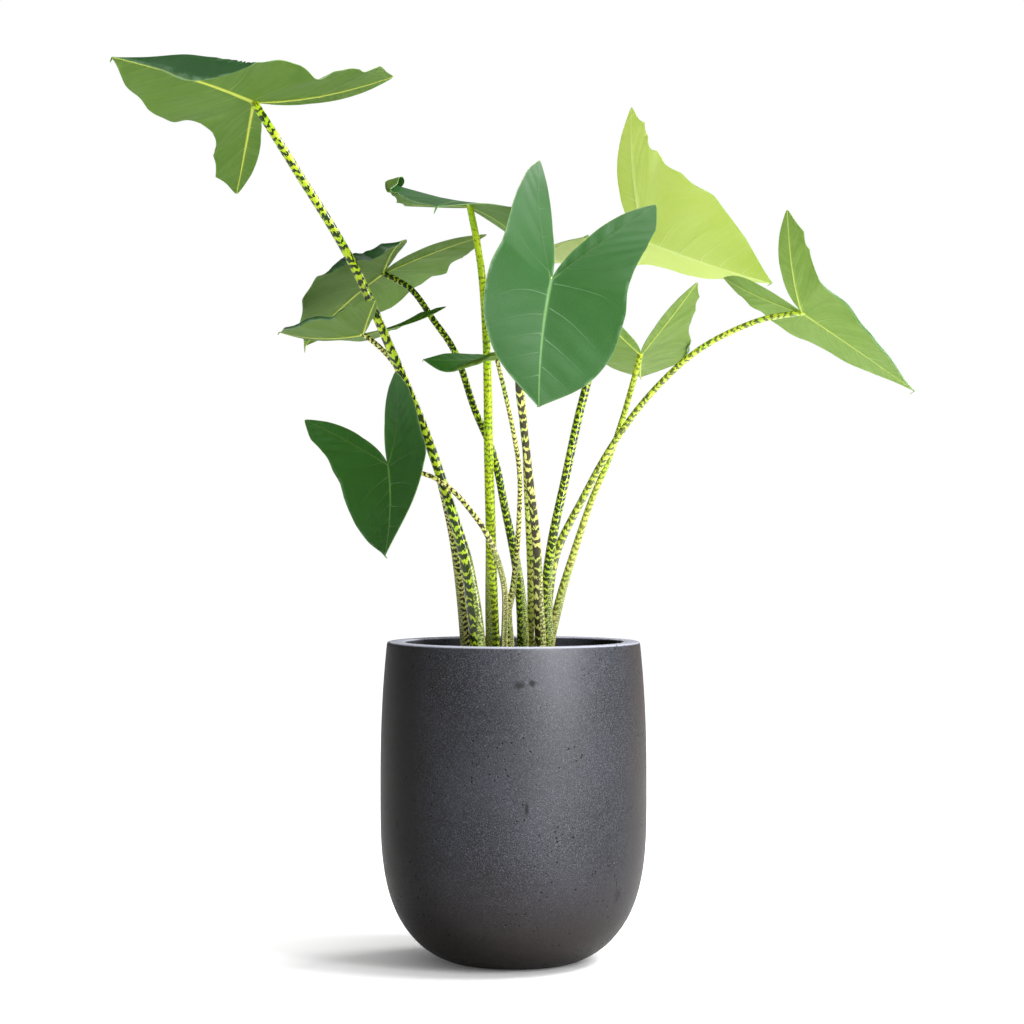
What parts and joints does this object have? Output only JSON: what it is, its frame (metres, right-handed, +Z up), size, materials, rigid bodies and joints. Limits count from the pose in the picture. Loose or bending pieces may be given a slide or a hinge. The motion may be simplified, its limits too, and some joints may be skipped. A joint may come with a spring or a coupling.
{
  "type": "potted alocasia zebrina",
  "caption": "Potted aroid house plant: arrow-shaped leaves with waved edges on zebra-striped stalks, standing in soil in a tall round planter that narrows to a flat foot.",
  "frame": {"origin": "middle of the planter's flat foot, on the surface it stands on", "axes": "+Z up, +X to the right and +Y away from the front"},
  "size_m": [0.9304, 0.4358, 1.0846],
  "materials": {
    "planter_clay": "dark grey fibre clay, satin, with a fine grain and small pits",
    "potting_soil": "dark moist potting soil, crumbly",
    "leaf_blade": "satin dark green above with pale veins, matte yellow-green below with raised ribs",
    "leaf_stalk": "satin yellow-green to cream with irregular dark green and brown cross bands"
  },
  "bodies": {
    "root": {"planter": "planter_clay", "soil": "potting_soil", "blade_far_left": "leaf_blade", "stalk_far_left": "leaf_stalk", "blade_left": "leaf_blade", "stalk_left": "leaf_stalk", "blade_left_low": "leaf_blade", "stalk_left_low": "leaf_stalk", "blade_top": "leaf_blade", "stalk_top": "leaf_stalk", "blade_front": "leaf_blade", "stalk_front": "leaf_stalk", "blade_upper_right": "leaf_blade", "stalk_upper_right": "leaf_stalk", "blade_rear_small": "leaf_blade", "stalk_rear_small": "leaf_stalk", "blade_right": "leaf_blade", "stalk_right": "leaf_stalk", "blade_far_right": "leaf_blade", "stalk_far_right": "leaf_stalk", "blade_low_left": "leaf_blade", "stalk_low_left": "leaf_stalk", "blade_young": "leaf_blade", "stalk_young": "leaf_stalk"}
  },
  "joints": []
}
